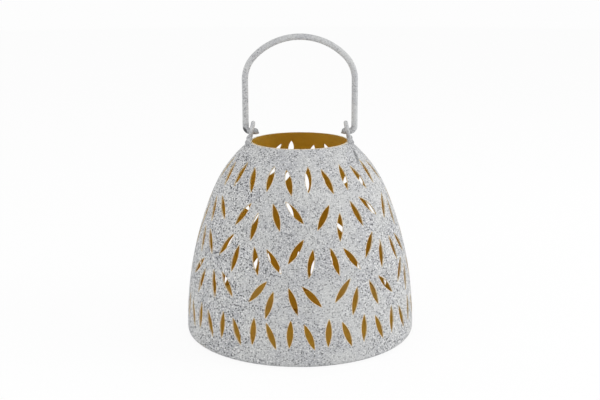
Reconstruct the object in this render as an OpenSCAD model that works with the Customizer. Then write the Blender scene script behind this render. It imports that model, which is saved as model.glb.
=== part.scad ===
// Perforated bell-shaped lantern of painted sheet steel, with a floor plate, a tealight cup,
// two wire ears and a rod bail.
// The foot stands on z = 0, the axis of the body is the z axis, and the ears lie on the x axis.

/* [Shell] */
// Largest radius of the shell, just above the foot
shell_r = 100; // [93:1:107]
// Height of the rim above the ground
shell_h = 168; // [158:1:180]
// Radius of the mouth
mouth_r = 42.5; // [39:0.5:47]
// Height of the shoulder's curve, from its start up to the rim
shoulder_h = 42; // [36:1:46]
// Thickness of the shell's steel
sheet_t = 1; // [0.8:0.1:1.4]
// Radius of the corner at the foot
foot_r = 4; // [3:0.5:6]
// Width of the flat ring that is turned in under the foot
foot_ring_w = 8; // [6:1:14]

/* [Leaf slots] */
// Length of a slot from tip to tip
slot_l = 23; // [20:0.5:24]
// Width of a slot at its middle
slot_w = 5.1; // [4.5:0.1:6]
// Distance along the wall between the slots of the top row, rounded to fit as an even number
top_row_step = 16.5; // [15:0.5:24]
// Distance along the wall between the fans of a row, rounded to fit
fan_step = 72.5; // [71:0.5:100]
// Distance along the wall between the slots of the bottom row, rounded to fit as an even number
bottom_row_step = 15.5; // [15:0.5:24]

/* [Floor plate] */
// Height of the floor above the ground
floor_z = 15; // [14:0.5:20]
// Thickness of the floor plate's steel
floor_t = 0.8; // [0.6:0.1:1.2]
// Height of the skirt that is turned down around the floor plate
floor_skirt_h = 7; // [5:0.5:9]
// Outer radius of the bend between the floor plate and its skirt
floor_bend_r = 1.6; // [1.4:0.1:2.4]
// Open seam between the floor plate and the shell
floor_gap = 0.9; // [0.5:0.1:1.2]
// Radius of the raised seat in the middle of the floor plate
seat_r = 14; // [10:0.5:17]
// Height of the raised seat above the floor
seat_h = 5.5; // [3:0.5:7]
// Width of the slope around the raised seat
seat_slope_w = 4; // [3:0.5:6]
// Number of weld tacks between the floor plate's skirt and the shell
tack_n = 4; // [3:1:6]
// Length of a weld tack along the seam
tack_l = 9; // [6:1:14]
// Radius of a weld tack's bead
tack_r = 1.3; // [1.1:0.1:1.6]

/* [Candle cup] */
// Inner radius of the cup that takes a tealight
cup_in_r = 20.7; // [20:0.1:22]
// Height of the cup
cup_h = 17.8; // [14:0.2:22]
// Thickness of the cup's steel
cup_t = 0.8; // [0.6:0.1:1]
// Outer radius of the corner between the cup's wall and its bottom
cup_corner_r = 2.5; // [2:0.1:4]
// Radius of the rivet's shank
rivet_r = 2; // [1.5:0.1:2.5]
// Radius of the rivet's heads
rivet_head_r = 3.6; // [3:0.1:4.5]
// Height of a rivet head
rivet_head_h = 1.3; // [1:0.1:1.5]

/* [Ears] */
// Radius of the ears' wire
ear_wire_r = 1.8; // [1.6:0.1:1.9]
// Radius of an ear's eye, to the middle of the wire
eye_r = 5.7; // [5.4:0.1:6.2]
// Radius of the bends under the eye, to the middle of the wire
neck_r = 2.2; // [2.1:0.1:2.6]
// How far an ear's eye leans inwards at the top, in degrees
ear_tilt = 12; // [8:1:16]
// How far the foot of an ear's leg lies down the shoulder from the rim, along the wall
leg_drop = 2.5; // [1.5:0.5:5]
// Direction of the foot of an ear's leg from the x axis, in degrees
leg_turn = 15; // [13:1:20]
// Gap between an ear's leg and the shoulder, which its weld bridges
leg_gap = 0.25; // [0.1:0.05:0.4]
// Radius of the weld bead around the foot of a leg
weld_r = 2.4; // [2.2:0.1:2.8]
// Length of the weld bead along a leg
weld_l = 4; // [3:0.5:5]

/* [Bail] */
// Radius of the bail's rod
rod_r = 2.65; // [2.4:0.05:2.75]
// Gap between an ear and the bail's leg beside it
leg_clear = 1.3; // [1.1:0.1:3]
// How far the bail has slid to the right in its ears
bail_slide = 0.5; // [0:0.1:0.6]
// Overall height of the lantern with the bail up
total_h = 259; // [245:1:280]
// How much larger the radius of the bail's crown is than half the bail's width
crown_more = 7.2; // [5:0.2:20]
// Radius of the bail's shoulders, to the middle of the rod
bail_shoulder_r = 28.5; // [22:0.5:34]
// Radius of the bend at the lower end of a leg, to the middle of the rod
bail_bend_r = 4.2; // [3.2:0.1:4.4]
// Length of the straight pin from the bend into the ear
pin_l = 4; // [3:0.5:6]
// Radius of the turned-up tip, to the middle of the rod
tip_r = 4; // [3:0.5:6]
// Gap under the pin where it rests in the neck of the ear
pin_gap = 0.35; // [0.3:0.05:0.6]

/* [Hidden] */
$fn = 72;
// Fineness of the large circles and of what is turned about the body's axis
fine_n = 256;

// Overrun of every cut
over = 4;
// Clearance of the rivet in its holes
rivet_play = 0.05;

// How far the balls that join the runs of a bent rod stand out of it
joint_bulge = 0.02;

// Colours of the paint, outside and inside
chalk_white = [0.80, 0.80, 0.79];
old_gold = [0.62, 0.42, 0.11];

// The side is an arc that stands upright at the top of the foot's corner and ends where the shoulder starts
side_in_share = 0.435;
side_in = side_in_share * (shell_r - mouth_r);
shoulder_r = shell_r - side_in;
shoulder_z = shell_h - shoulder_h;
side_up = shoulder_z - foot_r;
side_arc_r = (side_in * side_in + side_up * side_up) / (2 * side_in);
side_c = [shell_r - side_arc_r, foot_r];
side_turn = 2 * atan(side_in / side_up);

// The shoulder is an arc that goes on from the side without a kink and ends at the rim
shoulder_run = [shoulder_r - mouth_r, -shoulder_h];
shoulder_arc_r = shoulder_run * shoulder_run / (2 * shoulder_run * [cos(side_turn), sin(side_turn)]);
shoulder_c = [shoulder_r, shoulder_z] - shoulder_arc_r * [cos(side_turn), sin(side_turn)];
rim_turn = asin((shell_h - shoulder_c[1]) / shoulder_arc_r);

// Lengths along the wall, from the top of the foot's corner
side_l = side_arc_r * side_turn * PI / 180;
wall_l = side_l + shoulder_arc_r * (rim_turn - side_turn) * PI / 180;

// Direction of the wall's outward normal above the horizontal, at a length along the wall
function wall_turn(s) =
    s < side_l ? s / side_arc_r * 180 / PI : side_turn + (s - side_l) / shoulder_arc_r * 180 / PI;

// Radius and height of a point at a length along the wall and a distance outside it
function wall_at(s, out) =
    let(t = wall_turn(s), on_side = s < side_l)
    (on_side ? side_c : shoulder_c) + ((on_side ? side_arc_r : shoulder_arc_r) + out) * [cos(t), sin(t)];

// Inner radius of the side at a height
function side_in_r(z) = side_c[0] + sqrt(pow(side_arc_r - sheet_t, 2) - pow(z - side_c[1], 2));

// Half of the shell's section, filled to the axis, with the outline drawn in by a distance
module shell_half(inset) {
    bend_z = shoulder_z - inset * sin(side_turn);
    foot_x = shell_r - foot_r;
    translate([0, inset]) square([foot_x, foot_r - inset]);
    translate([foot_x, foot_r]) intersection() {
        circle(foot_r - inset);
        translate([0, -foot_r]) square(foot_r);
    }
    intersection() {
        translate(side_c) circle(side_arc_r - inset, $fn = fine_n);
        translate([0, foot_r]) square([shell_r, bend_z - foot_r]);
    }
    intersection() {
        translate(shoulder_c) circle(shoulder_arc_r - inset, $fn = fine_n);
        translate([0, bend_z]) square([shell_r, shell_h + over - bend_z]);
    }
}

// A leaf-shaped cutter: two arcs that meet in a point at each end
slot_arc_r = (slot_l * slot_l + slot_w * slot_w) / (4 * slot_w);
module leaf_cut() {
    depth = 2 * over + sheet_t;
    intersection() {
        translate([slot_arc_r - slot_w / 2, 0, 0]) cylinder(h = depth, r = slot_arc_r, center = true);
        translate([slot_w / 2 - slot_arc_r, 0, 0]) cylinder(h = depth, r = slot_arc_r, center = true);
    }
}

// Puts a cutter on the wall: angle from the front, length along the wall, and lean of its foot to the right
module on_wall(turn, s, lean) {
    p = wall_at(s, 0);
    rotate([0, 0, turn - 90])
        translate([p[0], 0, p[1]])
            rotate([0, 90 - wall_turn(s), 0])
                rotate([0, 0, 90 + lean])
                    children();
}

// Heights of the five rows of slots, as shares of the wall's length
bottom_row_share = 0.137;
lower_fan_share = 0.296;
middle_fan_share = 0.470;
upper_fan_share = 0.652;
top_row_share = 0.836;

// Angle from the front to the first slot of each plain row, and to the first fan of each row of fans
top_row_first = -53.9;
upper_fan_first = -20.2;
middle_fan_first = -29.1;
lower_fan_first = -8.4;
bottom_row_first = -2.1;

// The plain rows were punched by hand: how many degrees their slots drift, and the angle it starts from
top_row_drift = -3.1;
top_row_drift_from = 11.7;
bottom_row_drift = 2.6;
bottom_row_drift_from = 90;

// The slots at the back of the top row, which show through the mouth: the number of the first of them,
// how many degrees each is further off, and how far it sits too high, as a share of a slot's length
top_row_back_first = 14;
top_row_back_drifts = [0.5, -0.5, 1.75, -1];
top_row_back_rise_shares = [0.05, 0.04, 0.19, 0.15];

// Leans of the upright and the leaning slots in the plain rows, and how far the leaning ones sit lower
upright_lean = -3;
top_row_lean = 15;
bottom_row_lean = 21;
row_drop_share = 0.107;

// The fans, from the first to the right and round the back: how many degrees each is off its even place,
// how far it sits too high, as a share of a slot's length, and how many degrees it is turned on the wall
upper_drifts = [0, -1, -2.7, -7.1, -4, -1.9, -0.4];
upper_rise_shares = [0, 0, 0, -0.03, 0.15, 0, -0.13];
upper_turns = [0, 0, 0, 0, 6, 0, 0];
middle_drifts = [0, -3.3, -5.6, -3.9, -7.4, -2.7, -9.4, 0];
middle_rise_shares = [0, 0, 0, 0, -0.04, -0.13, 0, 0.27];
middle_turns = [0, 0, 0, 0, 0, -8, -6, 0];
lower_drifts = [0, -2.6, -5.3, -2.9, -5.1, -8.1, -2.6, 0];
lower_rise_shares = [-0.08, -0.05, 0.11, 0.09, 0.07, 0, 0.09, 0.17];
lower_turns = [0, 0, 0, 0, -4, 0, 0, -4];

// The four slots of a fan, from the left: shares of a slot's length to the right and up, and leans
upper_right_shares = [-0.95, -0.41, 0.37, 0.99];
upper_up_shares = [0.04, -0.34, 0.05, 0.23];
upper_leans = [-30, -8, 19, 40];
middle_right_shares = [-0.97, -0.47, 0.39, 1.05];
middle_up_shares = [0.29, -0.13, -0.11, -0.07];
middle_leans = [-32, -10, 14, 35];
lower_right_shares = [-0.91, -0.47, 0.37, 1.02];
lower_up_shares = [0.27, -0.16, 0, 0.16];
lower_leans = [-39, -15, 19, 42];

// Length around the wall at a share of its height
function girth(share) = 2 * PI * wall_at(share * wall_l, 0)[0];

// A plain row: upright slots, each followed by a leaning one that sits a little lower
module plain_row(step, share, first, drift, drift_from, next_lean,
                 off_first = 0, off_turns = [], off_rises = []) {
    pairs = round(girth(share) / (2 * step));
    for (k = [0 : 2 * pairs - 1]) {
        even = first + k * 180 / pairs;
        leaning = k % 2;
        m = k - off_first;
        off = m >= 0 && m < len(off_turns);
        turn = even + drift * sin(even - drift_from) + (off ? off_turns[m] : 0);
        s = share * wall_l + (off ? off_rises[m] * slot_l : 0) - leaning * row_drop_share * slot_l;
        on_wall(turn, s, leaning ? next_lean : upright_lean) leaf_cut();
    }
}

// A row of fans, each placed by the shares and leans of its slots and turned as a whole
module fan_row(share, first, drifts, rise_shares, turns, right_shares, up_shares, leans) {
    count = round(girth(share) / fan_step);
    for (k = [0 : count - 1]) for (m = [0 : len(leans) - 1]) {
        kind = k % len(drifts);
        right = right_shares[m] * cos(turns[kind]) - up_shares[m] * sin(turns[kind]);
        up = right_shares[m] * sin(turns[kind]) + up_shares[m] * cos(turns[kind]) + rise_shares[kind];
        here = share * wall_l + up * slot_l;
        side_step = right * slot_l / wall_at(here, 0)[0] * 180 / PI;
        turn = first + k * 360 / count + drifts[kind] + side_step;
        on_wall(turn, here, leans[m] + turns[kind]) leaf_cut();
    }
}

module leaf_slots() {
    plain_row(top_row_step, top_row_share, top_row_first, top_row_drift, top_row_drift_from, top_row_lean,
              top_row_back_first, top_row_back_drifts, top_row_back_rise_shares);
    fan_row(upper_fan_share, upper_fan_first, upper_drifts, upper_rise_shares, upper_turns,
            upper_right_shares, upper_up_shares, upper_leans);
    fan_row(middle_fan_share, middle_fan_first, middle_drifts, middle_rise_shares, middle_turns,
            middle_right_shares, middle_up_shares, middle_leans);
    fan_row(lower_fan_share, lower_fan_first, lower_drifts, lower_rise_shares, lower_turns,
            lower_right_shares, lower_up_shares, lower_leans);
    plain_row(bottom_row_step, bottom_row_share, bottom_row_first, bottom_row_drift, bottom_row_drift_from,
              bottom_row_lean);
}

module shell() {
    color(chalk_white) difference() {
        rotate_extrude($fn = fine_n) difference() {
            shell_half(0);
            shell_half(sheet_t);
            translate([0, shell_h]) square([shell_r, 2 * over]);
            translate([0, -over]) square([shell_r - foot_r - foot_ring_w, foot_r + over]);
        }
        leaf_slots();
    }
}

// Floor plate
floor_r = side_in_r(floor_z) - floor_gap;
seat_z = floor_z + seat_h;
skirt_z = floor_z - floor_skirt_h;

module floor_plate() {
    bend_x = floor_r - floor_bend_r;
    slope_x = seat_r + seat_slope_w;
    color(old_gold) difference() {
        rotate_extrude() {
            translate([0, seat_z - floor_t]) square([seat_r, floor_t]);
            polygon([[seat_r, seat_z], [seat_r, seat_z - floor_t],
                     [slope_x, floor_z - floor_t], [slope_x, floor_z]]);
            translate([slope_x, floor_z - floor_t]) square([bend_x - slope_x, floor_t]);
            translate([bend_x, floor_z - floor_bend_r]) intersection() {
                difference() {
                    circle(floor_bend_r);
                    circle(floor_bend_r - floor_t);
                }
                square(floor_bend_r);
            }
            translate([floor_r - floor_t, skirt_z]) square([floor_t, floor_skirt_h - floor_bend_r]);
        }
        translate([0, 0, floor_z]) cylinder(h = seat_h + over, r = rivet_r + rivet_play);
    }
}

module floor_tacks() {
    tack_turn = tack_l / floor_r * 180 / PI;
    low_z = skirt_z - tack_r;
    high_z = skirt_z + tack_r;
    color(old_gold) for (k = [0 : tack_n - 1]) rotate([0, 0, (k + 0.5) * 360 / tack_n - tack_turn / 2])
        rotate_extrude(angle = tack_turn, $fn = fine_n) difference() {
            intersection() {
                translate([floor_r + floor_gap / 2, skirt_z]) circle(tack_r);
                polygon([[0, low_z], [side_in_r(low_z), low_z], [side_in_r(high_z), high_z], [0, high_z]]);
            }
            translate([floor_r - floor_t, skirt_z]) square([floor_t, floor_skirt_h]);
        }
}

// Candle cup
cup_r = cup_in_r + cup_t;
cup_floor_z = seat_z + cup_t;

module candle_cup() {
    corner_x = cup_r - cup_corner_r;
    color(old_gold) difference() {
        translate([0, 0, seat_z]) rotate_extrude() {
            square([corner_x, cup_t]);
            translate([corner_x, cup_corner_r]) intersection() {
                difference() {
                    circle(cup_corner_r);
                    circle(cup_corner_r - cup_t);
                }
                translate([0, -cup_corner_r]) square(cup_corner_r);
            }
            translate([cup_in_r, cup_corner_r]) square([cup_t, cup_h - cup_corner_r]);
        }
        translate([0, 0, seat_z - over]) cylinder(h = 2 * over, r = rivet_r + rivet_play);
    }
}

module cup_rivet() {
    dome_r = (rivet_head_r * rivet_head_r + rivet_head_h * rivet_head_h) / (2 * rivet_head_h);
    head_z = cup_floor_z;
    tail_z = seat_z - floor_t;
    color(old_gold) {
        translate([0, 0, tail_z]) cylinder(h = head_z - tail_z, r = rivet_r);
        intersection() {
            translate([0, 0, head_z + rivet_head_h - dome_r]) sphere(dome_r);
            translate([0, 0, head_z]) cylinder(h = rivet_head_h, r = rivet_head_r);
        }
        translate([0, 0, tail_z - rivet_head_h]) cylinder(h = rivet_head_h, r = rivet_head_r);
    }
}

// Each ear is one wire: an eye, a bend at each side under it, and two legs that run out along the shoulder.
// The eye stands in a plane that leans inwards at the top, so that the bends clear the rim.
neck_turn = 45;
leg_slope = 17;
// Height of the lowest middle line of the wire under the centre of the eye
neck_low = (eye_r + neck_r) * cos(neck_turn) + neck_r;
// Where the bends' lowest point lies: just above the rim, over its outer edge
rim_seat_z = shell_h + ear_wire_r + leg_gap;
ear_z = rim_seat_z + neck_low * cos(ear_tilt);
ear_x = mouth_r - neck_low * sin(ear_tilt);

// A point of the eye's plane: along y and up the plane from the centre of the eye
function ear_point(along, up) = [ear_x - up * sin(ear_tilt), along, ear_z + up * cos(ear_tilt)];

neck_c = [(eye_r + neck_r) * sin(neck_turn), -(eye_r + neck_r) * cos(neck_turn)];
neck_end = neck_c - neck_r * [sin(leg_slope), cos(leg_slope)];
leg_start = ear_point(neck_end[0], neck_end[1]);
leg_off = ear_wire_r + leg_gap;

// Pushes a point out from the shoulder to the distance at which the legs lie
function off_shoulder(p) =
    let(r = norm([p[0], p[1]]), d = [r, p[2]] - shoulder_c)
    let(q = shoulder_c + (shoulder_arc_r + leg_off) / norm(d) * d)
    [p[0] / r * q[0], p[1] / r * q[0], q[1]];

leg_end = let(q = wall_at(wall_l - leg_drop, leg_off)) [q[0] * cos(leg_turn), q[0] * sin(leg_turn), q[1]];
leg_mid = off_shoulder((leg_start + leg_end) / 2);

// Centre of the circle through three points
function circle_centre(a, b, c) =
    let(u = b - a, v = c - a, w = cross(u, v))
    a + (v * v * cross(w, u) + u * u * cross(v, w)) / (2 * w * w);

leg_c = circle_centre(leg_start, leg_mid, leg_end);
leg_arc_r = norm(leg_start - leg_c);
leg_x = (leg_start - leg_c) / leg_arc_r;
leg_normal = cross(leg_mid - leg_start, leg_end - leg_start);
leg_axis = leg_normal / norm(leg_normal);
leg_y = cross(leg_axis, leg_x);
leg_sweep = acos(leg_x * (leg_end - leg_c) / leg_arc_r);

// Puts a shape into the frame of the leg's arc
module in_leg_frame() {
    multmatrix([[leg_x[0], leg_y[0], leg_axis[0], leg_c[0]],
                [leg_x[1], leg_y[1], leg_axis[1], leg_c[1]],
                [leg_x[2], leg_y[2], leg_axis[2], leg_c[2]],
                [0, 0, 0, 1]]) children();
}

// A round bar bent to an arc about the z axis, from an angle through a sweep
module bent_bar(arc_r, bar_r, from, sweep) {
    rotate([0, 0, from]) rotate_extrude(angle = sweep) translate([arc_r, 0]) circle(bar_r);
}

// A ball that joins two runs of a bar bent in the xy plane, with its poles along the bar
module joint_ball(at, bar_r, turn) {
    translate(at) rotate([0, 90, turn]) sphere(bar_r + joint_bulge);
}

// Puts a flat shape, drawn along y and upwards, into the leaning plane of the eye
module in_eye_plane() {
    translate([ear_x, 0, ear_z]) rotate([0, -ear_tilt, 0]) rotate([90, 0, 90]) children();
}

module ear_leg() {
    eye_end = eye_r * [sin(neck_turn), -cos(neck_turn)];
    in_eye_plane() {
        joint_ball(eye_end, ear_wire_r, neck_turn);
        translate(neck_c) bent_bar(neck_r, ear_wire_r, 90 + neck_turn, 180 - neck_turn - leg_slope);
    }
    translate(leg_start) sphere(ear_wire_r + joint_bulge);
    in_leg_frame() bent_bar(leg_arc_r, ear_wire_r, 0, leg_sweep);
}

module ear() {
    in_eye_plane() bent_bar(eye_r, ear_wire_r, neck_turn - 90, 360 - 2 * neck_turn);
    ear_leg();
    mirror([0, 1, 0]) ear_leg();
}

module right_ear() {
    color(chalk_white) ear();
}

module left_ear() {
    color(chalk_white) mirror([1, 0, 0]) ear();
}

// Weld bead: a short bent bar round the foot of a leg, without the leg and the wall
module half_weld() {
    weld_sweep = weld_l / leg_arc_r * 180 / PI;
    difference() {
        in_leg_frame() bent_bar(leg_arc_r - leg_gap, weld_r, leg_sweep - weld_sweep, weld_sweep);
        ear_leg();
        rotate_extrude($fn = fine_n) shell_half(0);
    }
}

module ear_welds() {
    half_weld();
    mirror([0, 1, 0]) half_weld();
}

module right_ear_welds() {
    color(chalk_white) ear_welds();
}

module left_ear_welds() {
    color(chalk_white) mirror([1, 0, 0]) ear_welds();
}

// The pin rests on the two bends under the eye
pin_drop = -neck_c[1] - sqrt(pow(neck_r + ear_wire_r + rod_r, 2) - pow(neck_c[0], 2));
pin_z = ear_z - pin_drop * cos(ear_tilt) + pin_gap;

// Half the distance between the bail's legs, to the middle of the rod
bail_half_w = ear_x + ear_wire_r + leg_clear + rod_r;

// Arch of the bail: a flat crown between two tighter shoulders, all tangent
crown_r = bail_half_w + crown_more;
crown_c_z = total_h - rod_r - crown_r;
shoulder_x = bail_half_w - bail_shoulder_r;
arch_step = [shoulder_x, sqrt(pow(crown_r - bail_shoulder_r, 2) - pow(shoulder_x, 2))];
leg_top_z = crown_c_z + arch_step[1];
arch_turn = atan(arch_step[1] / arch_step[0]);
tip_turn = 30;

// Half of the bail, drawn in the xy plane: the shoulder, the leg, the bend, the pin and the tip
module half_bail() {
    leg_bottom_z = pin_z + bail_bend_r;
    pin_x = bail_half_w - bail_bend_r;
    crown_end = [crown_r * cos(arch_turn), crown_c_z + crown_r * sin(arch_turn)];
    joint_ball(crown_end, rod_r, arch_turn + 90);
    translate([arch_step[0], leg_top_z]) bent_bar(bail_shoulder_r, rod_r, 0, arch_turn);
    joint_ball([bail_half_w, leg_top_z], rod_r, 90);
    translate([bail_half_w, leg_bottom_z]) rotate([-90, 0, 0])
        cylinder(h = leg_top_z - leg_bottom_z, r = rod_r);
    joint_ball([bail_half_w, leg_bottom_z], rod_r, 90);
    translate([pin_x, leg_bottom_z]) bent_bar(bail_bend_r, rod_r, -90, 90);
    joint_ball([pin_x, pin_z], rod_r, 0);
    translate([pin_x - pin_l, pin_z]) rotate([0, 90, 0]) cylinder(h = pin_l, r = rod_r);
    joint_ball([pin_x - pin_l, pin_z], rod_r, 0);
    translate([pin_x - pin_l, pin_z + tip_r]) bent_bar(tip_r, rod_r, -90 - tip_turn, tip_turn);
}

module bail() {
    color(chalk_white) translate([bail_slide, 0, 0]) rotate([90, 0, 0]) {
        translate([0, crown_c_z]) bent_bar(crown_r, rod_r, arch_turn, 180 - 2 * arch_turn);
        half_bail();
        mirror([1, 0, 0]) half_bail();
    }
}

shell();
floor_plate();
floor_tacks();
candle_cup();
cup_rivet();
left_ear();
right_ear();
left_ear_welds();
right_ear_welds();
bail();
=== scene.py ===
# Perforated bell-shaped lantern: chalk paint outside, antique gold inside, wire ears and a rod bail.
import math

import bmesh
import bpy
from bpy.props import FloatProperty, FloatVectorProperty, PointerProperty, StringProperty
from mathutils import Matrix, Vector


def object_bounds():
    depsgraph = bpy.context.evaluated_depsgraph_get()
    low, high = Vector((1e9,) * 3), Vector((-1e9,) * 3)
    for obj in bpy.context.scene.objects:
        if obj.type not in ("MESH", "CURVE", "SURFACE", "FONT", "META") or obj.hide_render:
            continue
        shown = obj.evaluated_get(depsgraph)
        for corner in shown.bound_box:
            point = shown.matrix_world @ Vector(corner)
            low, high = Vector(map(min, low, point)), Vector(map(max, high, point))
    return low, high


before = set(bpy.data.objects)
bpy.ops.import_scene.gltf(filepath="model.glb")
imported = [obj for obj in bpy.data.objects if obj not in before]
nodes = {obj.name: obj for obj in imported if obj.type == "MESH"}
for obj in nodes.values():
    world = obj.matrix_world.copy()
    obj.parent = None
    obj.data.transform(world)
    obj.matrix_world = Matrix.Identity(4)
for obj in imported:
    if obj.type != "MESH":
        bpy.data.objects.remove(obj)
cad_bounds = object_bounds()

bl_info = {
    "name": "Perforated Lantern",
    "version": (1, 0, 0),
    "blender": (4, 5, 0),
    "location": "3D View > Sidebar > Lantern",
    "description": "Dresses a candle lantern of painted sheet steel and puts it on a pale studio floor",
    "category": "Object",
}

MM = 0.001

# Brightness of the studio's white as the camera sees it
WHITE = 0.982

# Brightness of the floor as the camera sees it, and the share of it that takes no shadow
FLOOR_WHITE = 1.01
FLOOR_WHITE_SHARE = 0.88

# Softboxes: name, side and place in metres
SOFTBOXES = (
    ("key", 0.9, (1.4, -0.2, 0.6)),
    ("fill", 1.0, (-1.1, -0.7, 0.6)),
    ("top", 0.8, (0.0, 0.1, 1.4)),
)

# Width of the camera's sensor, and sides of the round floor
SENSOR_MM = 36.0
FLOOR_SIDES = 64

# Sockets of a colour mix, and settings that nodes share
FACTOR, FIRST, SECOND = 0, 6, 7
COLOURS = {"data_type": "RGBA"}
SMOOTH = {"interpolation_type": "SMOOTHSTEP"}

# Noise between which a coat goes from one shade to the other
CHALK_CLOUDS = (0.36, 0.64)
GOLD_CLOUDS = (0.35, 0.65)
EDGE_CLOUDS = (0.4, 0.6)

# The chalk paint's cleaner strip: its place across, and how far beside it speckle starts and is dense
CLEAN_STRIP_MM = 15.0
CLEAN_HALF_MM = 25.0
DENSE_HALF_MM = 95.0

# Shares of the speckle that show in the strip, well beside it, and where the coat is thick
CLEAN_SHARE = 0.74
DENSE_SHARE = 1.42
THICK_COAT_SHARE = 0.68

# Marks in the chalk paint: share of the cells that hold one, and its largest radius as a share of a cell
GRIT_SHARES = (0.75, 0.65)
SPECK_SHARES = (0.7, 0.5)
DOT_SHARES = (0.7, 0.55)

# How far inside a mark's outline its colour starts and is full, as shares of a cell
SPECK_RIM_SHARES = (-0.02, 0.05)

# Share of a dark streak's reach that is dark to the full
STREAK_CORE_SHARE = 0.5

# How far the brightest flake lightens the gold
FLAKE_SHARE = 0.25

# Cosines of the turn of a rounded edge at which its edge line, a painted highlight on worn paint, is full
# and gone
EDGE_COSINES = (0.9, 0.99)

# Dark streaks, where the coat is darkened towards dark primer: start, end and half width in millimetres,
# and the share of the darkening
BAIL_DARK_STREAKS = (
    ((-49.2, -2.4, 181.0), (-45.0, -2.4, 172.8), 2.7, 0.85),
    ((-33.2, 0.0, 173.0), (-33.2, 0.0, 181.0), 4.4, 0.8),
    ((34.4, 0.0, 173.0), (34.4, 0.0, 181.0), 4.4, 0.7),
)
SHELL_DARK_STREAKS = (
    ((45.1, -14.6, 164.5), (49.7, -31.7, 152.5), 3.2, 0.5),
    ((-47.2, -24.0, 159.4), (-42.3, -35.5, 155.5), 2.4, 0.25),
)

# Order of the shell's materials
OUTSIDE, INSIDE, CUT_EDGE = range(3)

# A skin of less than this share of the shell is the cut edge of a slot or of the sheet
CUT_EDGE_SHARE = 0.01

# The outside looks away from the axis, and down under the foot
DOWNWARDS = Vector((0, 0, -0.5))

# Corners in the same hundredth of a millimetre are one
CELLS_PER_METRE = 1e5


def linear(hex_colour):
    """An sRGB hex value as linear red, green, blue and alpha."""
    parts = [int(hex_colour[k:k + 2], 16) / 255 for k in (1, 3, 5)]
    return tuple(((c + 0.055) / 1.055) ** 2.4 if c > 0.04045 else c / 12.92 for c in parts) + (1.0,)


def add_node(tree, kind, inputs=None, **settings):
    """Adds a node with its settings, and sets or links its inputs. A node given as an input is linked by
    its first output in use."""
    node = tree.nodes.new(kind)
    for name, value in settings.items():
        setattr(node, name, value)
    for name, value in (inputs or {}).items():
        if isinstance(value, bpy.types.Node):
            value = next(output for output in value.outputs if output.enabled)
        if isinstance(value, bpy.types.NodeSocket):
            tree.links.new(value, node.inputs[name])
        else:
            node.inputs[name].default_value = value
    return node


def new_material(name):
    """A material with an empty node tree."""
    material = bpy.data.materials.new(name)
    material.use_nodes = True
    material.node_tree.nodes.clear()
    return material


def specks(tree, place, cell_mm, cell_share, radius_share):
    """Round specks of random size, one to a cell at most: one inside a speck and zero between them."""
    cells = add_node(tree, "ShaderNodeTexVoronoi", {"Vector": place, "Scale": 1 / (cell_mm * MM)})
    chance = add_node(tree, "ShaderNodeSeparateColor", {"Color": cells.outputs["Color"]})
    size = add_node(tree, "ShaderNodeMapRange",
                    {"Value": chance.outputs["Red"], "From Min": 1 - cell_share, "To Max": radius_share},
                    **SMOOTH)
    depth = add_node(tree, "ShaderNodeMath", {0: size, 1: cells.outputs["Distance"]}, operation="SUBTRACT")
    return add_node(tree, "ShaderNodeMapRange",
                    {"Value": depth, "From Min": SPECK_RIM_SHARES[0], "From Max": SPECK_RIM_SHARES[1]},
                    **SMOOTH)


def dark_streak(tree, place, start_mm, end_mm, half_width_mm):
    """One inside a dark streak and zero past its edge: an egg shape from its start to its end."""
    start, end = Vector(start_mm) * MM, Vector(end_mm) * MM
    half_width = half_width_mm * MM
    streak = add_node(tree, "ShaderNodeMapping",
                      {"Vector": place, "Location": (start + end) / 2,
                       "Rotation": (end - start).to_track_quat("X", "Z").to_euler(),
                       "Scale": ((end - start).length / 2, half_width, half_width)},
                      vector_type="TEXTURE")
    reach = add_node(tree, "ShaderNodeVectorMath", {0: streak}, operation="LENGTH")
    return add_node(tree, "ShaderNodeMapRange",
                    {"Value": reach.outputs["Value"], "From Min": STREAK_CORE_SHARE,
                     "To Min": 1, "To Max": 0},
                    **SMOOTH)


def edge_highlight_and_wear(tree, width_mm):
    """One along a sharp edge of the sheet and zero away from it: a painted highlight where the edge would
    catch the light, which is also where paint wears off first.
    """
    rounded = add_node(tree, "ShaderNodeBevel", {"Radius": width_mm * MM})
    flat = add_node(tree, "ShaderNodeNewGeometry").outputs["True Normal"]
    alike = add_node(tree, "ShaderNodeVectorMath", {0: rounded, 1: flat}, operation="DOT_PRODUCT")
    return add_node(tree, "ShaderNodeMapRange",
                    {"Value": alike.outputs["Value"], "From Min": EDGE_COSINES[0],
                     "From Max": EDGE_COSINES[1], "To Min": 1, "To Max": 0},
                    **SMOOTH)


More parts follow.
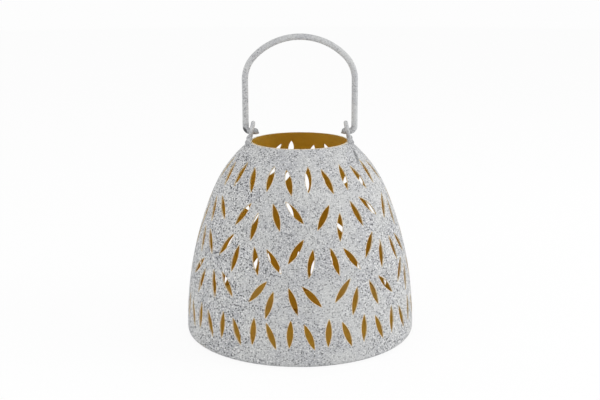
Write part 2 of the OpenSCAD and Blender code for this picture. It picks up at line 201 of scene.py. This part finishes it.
def chalk_paint_on_steel(name, look, speckle_share, roughness, dark_streaks=(), edge_mm=None):
    """Distressed chalk paint sprayed on steel: a dead-matt pale coat with bright grit in it. Grey primer
    shows in fine specks, dark streaks darken the coat at given places, and a cream line along the cut
    edges of sheet is a painted highlight on worn paint."""
    material = new_material(name)
    tree = material.node_tree
    place = add_node(tree, "ShaderNodeTexCoord").outputs["Object"]
    clouds = add_node(tree, "ShaderNodeTexNoise",
                      {"Vector": place, "Scale": 1 / (look.cloud_mm * MM), "Detail": 3, "Roughness": 0.6})
    thin = add_node(tree, "ShaderNodeMapRange",
                    {"Value": clouds, "From Min": CHALK_CLOUDS[0], "From Max": CHALK_CLOUDS[1]}, **SMOOTH)
    coat = add_node(tree, "ShaderNodeMix",
                    {FACTOR: thin, FIRST: linear(look.coat_high), SECOND: linear(look.coat_low)}, **COLOURS)

    # Speckle grows to both sides of a cleaner strip, and shows most where the coat is thin
    across = add_node(tree, "ShaderNodeSeparateXYZ", {"Vector": place}).outputs["X"]
    aside = add_node(tree, "ShaderNodeMath", {0: across, 1: CLEAN_STRIP_MM * MM}, operation="SUBTRACT")
    aside = add_node(tree, "ShaderNodeMath", {0: aside}, operation="ABSOLUTE")
    beside = add_node(tree, "ShaderNodeMapRange",
                      {"Value": aside, "From Min": CLEAN_HALF_MM * MM, "From Max": DENSE_HALF_MM * MM,
                       "To Min": CLEAN_SHARE, "To Max": DENSE_SHARE}, **SMOOTH)
    density = add_node(tree, "ShaderNodeMapRange", {"Value": thin, "To Min": THICK_COAT_SHARE}, **SMOOTH)
    for share in (beside, speckle_share):
        density = add_node(tree, "ShaderNodeMath", {0: density, 1: share}, operation="MULTIPLY")

    # Grit stands up from the coat, and specks and dots are pits in it
    relief = 0.0
    for cell_mm, shares, colour, way in ((look.grit_mm, GRIT_SHARES, look.coat_bright, "ADD"),
                                         (look.speck_mm, SPECK_SHARES, look.primer, "SUBTRACT"),
                                         (look.dot_mm, DOT_SHARES, look.primer_dark, "SUBTRACT")):
        marks = specks(tree, place, cell_mm, *shares)
        shown = add_node(tree, "ShaderNodeMath", {0: marks, 1: density}, operation="MULTIPLY")
        coat = add_node(tree, "ShaderNodeMix",
                        {FACTOR: shown, FIRST: coat, SECOND: linear(colour)}, **COLOURS)
        relief = add_node(tree, "ShaderNodeMath", {0: relief, 1: marks}, operation=way)

    streaks_and_edge_line = []
    # Dark streaks darken the coat towards dark primer at the given places
    for start_mm, end_mm, half_width_mm, dark_share in dark_streaks:
        streak = dark_streak(tree, place, start_mm, end_mm, half_width_mm)
        marked = add_node(tree, "ShaderNodeMath", {0: streak, 1: dark_share}, operation="MULTIPLY")
        streaks_and_edge_line.append((marked, look.primer_dark))
    # The edge line is a painted highlight along sharp edges, in the cream of primer where paint wears off
    if edge_mm:
        streaks_and_edge_line.append((edge_highlight_and_wear(tree, edge_mm), look.edge_highlight_colour))
    for share, colour in streaks_and_edge_line:
        coat = add_node(tree, "ShaderNodeMix",
                        {FACTOR: share, FIRST: coat, SECOND: linear(colour)}, **COLOURS)

    bump = add_node(tree, "ShaderNodeBump",
                    {"Strength": 0.3, "Distance": look.relief_mm * MM, "Height": relief})
    shader = add_node(tree, "ShaderNodeBsdfPrincipled",
                      {"Base Color": coat, "Roughness": roughness, "IOR": 1.45, "Specular IOR Level": 0.4,
                       "Normal": bump})
    add_node(tree, "ShaderNodeOutputMaterial", {"Surface": shader})
    return material


def antique_gold_paint(name, look):
    """Satin antique gold paint sprayed on steel: metal flake in a brown-gold coat with browner clouds."""
    material = new_material(name)
    tree = material.node_tree
    place = add_node(tree, "ShaderNodeTexCoord").outputs["Object"]
    clouds = add_node(tree, "ShaderNodeTexNoise",
                      {"Vector": place, "Scale": 1 / (look.cloud_mm * MM), "Detail": 3, "Roughness": 0.6})
    thick = add_node(tree, "ShaderNodeMapRange",
                     {"Value": clouds, "From Min": GOLD_CLOUDS[0], "From Max": GOLD_CLOUDS[1]}, **SMOOTH)
    coat = add_node(tree, "ShaderNodeMix",
                    {FACTOR: thick, FIRST: linear(look.gold_low), SECOND: linear(look.gold_high)},
                    **COLOURS)
    flakes = add_node(tree, "ShaderNodeTexNoise",
                      {"Vector": place, "Scale": 1 / (look.flake_mm * MM), "Detail": 1, "Roughness": 0.6})
    bright = add_node(tree, "ShaderNodeMapRange",
                      {"Value": flakes, "From Min": GOLD_CLOUDS[0], "From Max": GOLD_CLOUDS[1],
                       "To Max": FLAKE_SHARE}, **SMOOTH)
    coat = add_node(tree, "ShaderNodeMix",
                    {FACTOR: bright, FIRST: coat, SECOND: linear(look.gold_flake)}, **COLOURS)
    grain = add_node(tree, "ShaderNodeTexNoise",
                     {"Vector": place, "Scale": 1 / (look.flake_mm * MM), "Detail": 2, "Roughness": 0.6})
    bump = add_node(tree, "ShaderNodeBump",
                    {"Strength": 0.2, "Distance": look.relief_mm * MM, "Height": grain})
    shader = add_node(tree, "ShaderNodeBsdfPrincipled",
                      {"Base Color": coat, "Roughness": 0.5, "Metallic": 0.2, "Normal": bump})
    add_node(tree, "ShaderNodeOutputMaterial", {"Surface": shader})
    return material


def cut_edge_of_steel(name, look):
    """The punched edge of the sheet: thin cream primer that both coats only dusted."""
    material = new_material(name)
    tree = material.node_tree
    place = add_node(tree, "ShaderNodeTexCoord").outputs["Object"]
    grain = add_node(tree, "ShaderNodeTexNoise",
                     {"Vector": place, "Scale": 1 / (look.wear_mm * MM), "Detail": 2, "Roughness": 0.6})
    worn = add_node(tree, "ShaderNodeMapRange",
                    {"Value": grain, "From Min": EDGE_CLOUDS[0], "From Max": EDGE_CLOUDS[1]}, **SMOOTH)
    coat = add_node(tree, "ShaderNodeMix",
                    {FACTOR: worn, FIRST: linear(look.edge_low), SECOND: linear(look.edge_high)}, **COLOURS)
    shader = add_node(tree, "ShaderNodeBsdfPrincipled", {"Base Color": coat, "Roughness": 0.6})
    add_node(tree, "ShaderNodeOutputMaterial", {"Surface": shader})
    return material


def colour_property(name, description, value):
    """A colour that is kept as an sRGB hex value."""
    return StringProperty(name=name, description=description, default=value)


def size_property(name, description, value):
    """A size in millimetres."""
    return FloatProperty(name=name, description=description, default=value, min=0.01)


class LanternPaint(bpy.types.PropertyGroup):
    """The two paints and the cut edge between them."""
    coat_high: colour_property("Pale coat", "Chalk paint where it lies thick", "#C7C8C8")
    coat_low: colour_property("Thin coat", "Chalk paint where it lies thin", "#B8B9BC")
    coat_bright: colour_property("Bright grain", "The brightest grain of the chalk paint", "#F6F6F4")
    primer: colour_property("Primer", "Grey primer that shows in the specks", "#5C5E62")
    primer_dark: colour_property("Dark primer", "Dark primer in the scattered dots", "#1E2024")
    cloud_mm: size_property("Cloud size", "Size of the thick and thin clouds, in millimetres", 26.0)
    speck_mm: size_property("Speck size", "Distance between the fine specks, in millimetres", 0.9)
    grit_mm: size_property("Grit size", "Distance between the bright grains, in millimetres", 0.8)
    dot_mm: size_property("Dot size", "Distance between the scattered dots, in millimetres", 1.3)
    relief_mm: size_property("Relief", "Height of the paint's grain, in millimetres", 0.12)
    # Real flake is under a tenth of a millimetre: it is drawn as coarse as it needs to show
    flake_mm: size_property("Flake size", "Wave of the gold paint's flake, in millimetres", 0.9)
    gold_high: colour_property("Gold", "Gold paint where it lies thick", "#EAC640")
    gold_low: colour_property("Brown gold", "Gold paint where it lies thin", "#DCB837")
    gold_flake: colour_property("Gold flake", "Bright flake of the gold paint", "#F0D070")
    # The edge line is a painted highlight along the cut edges, in the cream of worn primer
    edge_mm: size_property("Edge line", "Width of the rubbed line along cut edges, in millimetres", 0.9)
    edge_highlight_colour: colour_property("Edge line colour", "Cream primer in the rubbed line", "#F0D49C")
    wear_mm: size_property("Edge wear size", "Size of the worn spots on the cut edges, in millimetres", 1.8)
    edge_high: colour_property("Edge", "Cut edge of the steel where the paint is pale", "#E2DAC6")
    edge_low: colour_property("Worn edge", "Cut edge of the steel where gold comes through", "#C4B48E")


class LanternStage(bpy.types.PropertyGroup):
    """The camera, the lamps and the floor."""
    camera_place: FloatVectorProperty(
        name="Camera", description="Where the camera stands", subtype="TRANSLATION", unit="LENGTH",
        default=(0.00024, -0.85395, 0.3213))
    camera_down: FloatProperty(
        name="Down", description="How far the camera looks down", subtype="ANGLE",
        default=math.radians(13.57))
    camera_roll: FloatProperty(
        name="Roll", description="How far the camera is rolled", subtype="ANGLE",
        default=math.radians(-0.2))
    lens_mm: size_property("Lens", "Focal length on a 36 mm sensor", 60.37)
    room_light: FloatProperty(
        name="Room light", description="Strength of the light from all round", default=0.78)
    key_watts: FloatProperty(
        name="Key", description="Power of the key softbox", subtype="POWER", default=7.4)
    fill_watts: FloatProperty(
        name="Fill", description="Power of the fill softbox", subtype="POWER", default=2.4)
    top_watts: FloatProperty(
        name="Top", description="Power of the overhead softbox", subtype="POWER", default=1.1)
    floor_size: FloatProperty(
        name="Floor", description="Radius of the floor", unit="LENGTH", default=4.0)
    floor_colour: colour_property("Floor colour", "Colour of the studio floor", "#F4F4F4")


def skins(mesh, sharp_degrees=35.0):
    """Groups a mesh's faces into skins that can be walked over without crossing a sharp edge."""
    by_edge = {}
    for face in mesh.polygons:
        places = [mesh.vertices[index].co for index in face.vertices]
        corners = [tuple(round(c * CELLS_PER_METRE) for c in place) for place in places]
        for k, corner in enumerate(corners):
            by_edge.setdefault(frozenset((corner, corners[k - 1])), []).append(face.index)
    neighbours = [[] for _ in mesh.polygons]
    normals = [face.normal.copy() for face in mesh.polygons]
    least = math.cos(math.radians(sharp_degrees))
    for pair in by_edge.values():
        if len(pair) == 2 and normals[pair[0]].dot(normals[pair[1]]) > least:
            neighbours[pair[0]].append(pair[1])
            neighbours[pair[1]].append(pair[0])
    seen = set()
    for start in range(len(neighbours)):
        if start in seen:
            continue
        seen.add(start)
        group = [start]
        for index in group:
            fresh = [other for other in neighbours[index] if other not in seen]
            seen.update(fresh)
            group.extend(fresh)
        yield [mesh.polygons[index] for index in group]


def sheet_side(group, whole_area):
    """Which side of the sheet a skin is: outside, inside or a cut edge."""
    area = sum(face.area for face in group)
    if area < CUT_EDGE_SHARE * whole_area:
        return CUT_EDGE
    outward = 0.0
    for face in group:
        away = Vector((face.center[0], face.center[1], 0)).normalized() + DOWNWARDS
        outward += face.area * face.normal.dot(away)
    return OUTSIDE if outward > 0 else INSIDE


class LANTERN_OT_shell(bpy.types.Operator):
    """Paints the shell: chalk paint outside, gold paint inside, and a pale cut edge round every slot"""
    bl_idname = "lantern.shell"
    bl_label = "Shell"

    def execute(self, context):
        paint = context.scene.lantern_paint
        mesh = nodes["shell"].data
        mesh.materials.clear()
        mesh.materials.append(chalk_paint_on_steel(
            "chalk_paint_on_sheet_steel", paint, speckle_share=0.95, roughness=0.82, dark_streaks=SHELL_DARK_STREAKS,
            edge_mm=paint.edge_mm))
        mesh.materials.append(bpy.data.materials["antique_gold_paint_on_steel"])
        mesh.materials.append(cut_edge_of_steel("cut_edge_of_sheet_steel", paint))
        whole_area = sum(face.area for face in mesh.polygons)
        for group in skins(mesh):
            side = sheet_side(group, whole_area)
            for face in group:
                face.material_index = side
        return {"FINISHED"}


class LANTERN_OT_candle_place(bpy.types.Operator):
    """Paints the floor plate, its weld tacks, the candle cup and its rivet in antique gold"""
    bl_idname = "lantern.candle_place"
    bl_label = "Candle place"

    def execute(self, context):
        gold = antique_gold_paint("antique_gold_paint_on_steel", context.scene.lantern_paint)
        for name in ("floor_plate", "floor_tacks", "candle_cup", "cup_rivet"):
            nodes[name].data.materials.clear()
            nodes[name].data.materials.append(gold)
        return {"FINISHED"}


class LANTERN_OT_ears_and_bail(bpy.types.Operator):
    """Paints the wire ears, their welds and the rod bail in chalk paint"""
    bl_idname = "lantern.ears_and_bail"
    bl_label = "Ears and bail"

    def execute(self, context):
        paint = context.scene.lantern_paint
        wire = chalk_paint_on_steel("chalk_paint_on_steel_wire", paint, speckle_share=0.5, roughness=0.7)
        rod = chalk_paint_on_steel(
            "chalk_paint_on_steel_rod", paint, speckle_share=0.4, roughness=0.5, dark_streaks=BAIL_DARK_STREAKS)
        for name in ("left_ear", "right_ear", "left_ear_welds", "right_ear_welds", "bail"):
            nodes[name].data.materials.clear()
            nodes[name].data.materials.append(rod if name == "bail" else wire)
        return {"FINISHED"}


def seen_directly(tree):
    """One for rays from the camera, from a gloss or through glass, and zero for light that falls on
    things."""
    path = add_node(tree, "ShaderNodeLightPath").outputs
    seen = path["Is Camera Ray"]
    for kind in ("Is Glossy Ray", "Is Transmission Ray"):
        seen = add_node(tree, "ShaderNodeMath", {0: seen, 1: path[kind]}, operation="MAXIMUM")
    return seen


def studio_floor(look):
    """Matt pale paper: a plain sheet that takes a soft shadow."""
    material = new_material("pale_paper_floor")
    tree = material.node_tree
    paper = add_node(tree, "ShaderNodeBsdfDiffuse", {"Color": linear(look.floor_colour)})
    white = add_node(tree, "ShaderNodeEmission", {"Strength": FLOOR_WHITE})
    share = add_node(tree, "ShaderNodeMath", {0: seen_directly(tree), 1: FLOOR_WHITE_SHARE},
                     operation="MULTIPLY")
    both = add_node(tree, "ShaderNodeMixShader", {0: share, 1: paper, 2: white})
    add_node(tree, "ShaderNodeOutputMaterial", {"Surface": both})
    return material


def softbox(name, watts, size, place, target):
    """A square studio lamp that faces a point."""
    lamp = bpy.data.lights.new(name, "AREA")
    lamp.energy = watts
    lamp.size = size
    holder = bpy.data.objects.new(name, lamp)
    holder.location = place
    holder.rotation_euler = (target - Vector(place)).to_track_quat("-Z", "Y").to_euler()
    bpy.context.scene.collection.objects.link(holder)


class LANTERN_OT_stage(bpy.types.Operator):
    """Sets the camera, the softboxes, the white surroundings and the pale floor"""
    bl_idname = "lantern.stage"
    bl_label = "Stage"

    def execute(self, context):
        scene = context.scene
        look = scene.lantern_stage
        camera = bpy.data.cameras.new("camera")
        camera.lens = look.lens_mm
        camera.sensor_width = SENSOR_MM
        holder = bpy.data.objects.new("camera", camera)
        tilt = Matrix.Rotation(math.pi / 2 - look.camera_down, 4, "X")
        roll = Matrix.Rotation(look.camera_roll, 4, "Z")
        holder.matrix_world = Matrix.Translation(look.camera_place) @ tilt @ roll
        scene.collection.objects.link(holder)
        scene.camera = holder
        low, high = cad_bounds
        middle = (Vector(low) + Vector(high)) / 2
        for name, size, place in SOFTBOXES:
            softbox(f"{name}_softbox", getattr(look, f"{name}_watts"), size, place, middle)
        scene.view_settings.view_transform = "Standard"
        world = bpy.data.worlds.new("white_room")
        world.use_nodes = True
        tree = world.node_tree
        tree.nodes.clear()
        white = linear("#FFFFFF")
        light = add_node(tree, "ShaderNodeBackground", {"Color": white, "Strength": look.room_light})
        backdrop = add_node(tree, "ShaderNodeBackground", {"Color": white, "Strength": WHITE})
        both = add_node(tree, "ShaderNodeMixShader", {0: seen_directly(tree), 1: light, 2: backdrop})
        add_node(tree, "ShaderNodeOutputWorld", {"Surface": both})
        scene.world = world
        mesh = bpy.data.meshes.new("floor")
        bm = bmesh.new()
        bmesh.ops.create_circle(bm, cap_ends=True, segments=FLOOR_SIDES, radius=look.floor_size)
        bm.to_mesh(mesh)
        bm.free()
        mesh.materials.append(studio_floor(look))
        floor = bpy.data.objects.new("floor", mesh)
        scene.collection.objects.link(floor)
        return {"FINISHED"}


class LANTERN_PT_panel(bpy.types.Panel):
    """Lists the lantern's pieces"""
    bl_idname = "LANTERN_PT_panel"
    bl_label = "Lantern"
    bl_space_type = "VIEW_3D"
    bl_region_type = "UI"
    bl_category = "Lantern"

    def draw(self, context):
        for operator in OPERATORS:
            self.layout.operator(operator.bl_idname)
        for group in (context.scene.lantern_paint, context.scene.lantern_stage):
            for name in group.__annotations__:
                self.layout.prop(group, name)


GROUPS = (LanternPaint, LanternStage)
OPERATORS = (LANTERN_OT_candle_place, LANTERN_OT_shell, LANTERN_OT_ears_and_bail, LANTERN_OT_stage)


def register():
    for cls in GROUPS + OPERATORS + (LANTERN_PT_panel,):
        bpy.utils.register_class(cls)
    bpy.types.Scene.lantern_paint = PointerProperty(type=LanternPaint)
    bpy.types.Scene.lantern_stage = PointerProperty(type=LanternStage)


def unregister():
    del bpy.types.Scene.lantern_stage
    del bpy.types.Scene.lantern_paint
    for cls in reversed(GROUPS + OPERATORS + (LANTERN_PT_panel,)):
        bpy.utils.unregister_class(cls)


def main():
    register()
    bpy.ops.lantern.candle_place()
    bpy.ops.lantern.shell()
    bpy.ops.lantern.ears_and_bail()
    bpy.ops.lantern.stage()


if __name__ == "__main__":
    main()
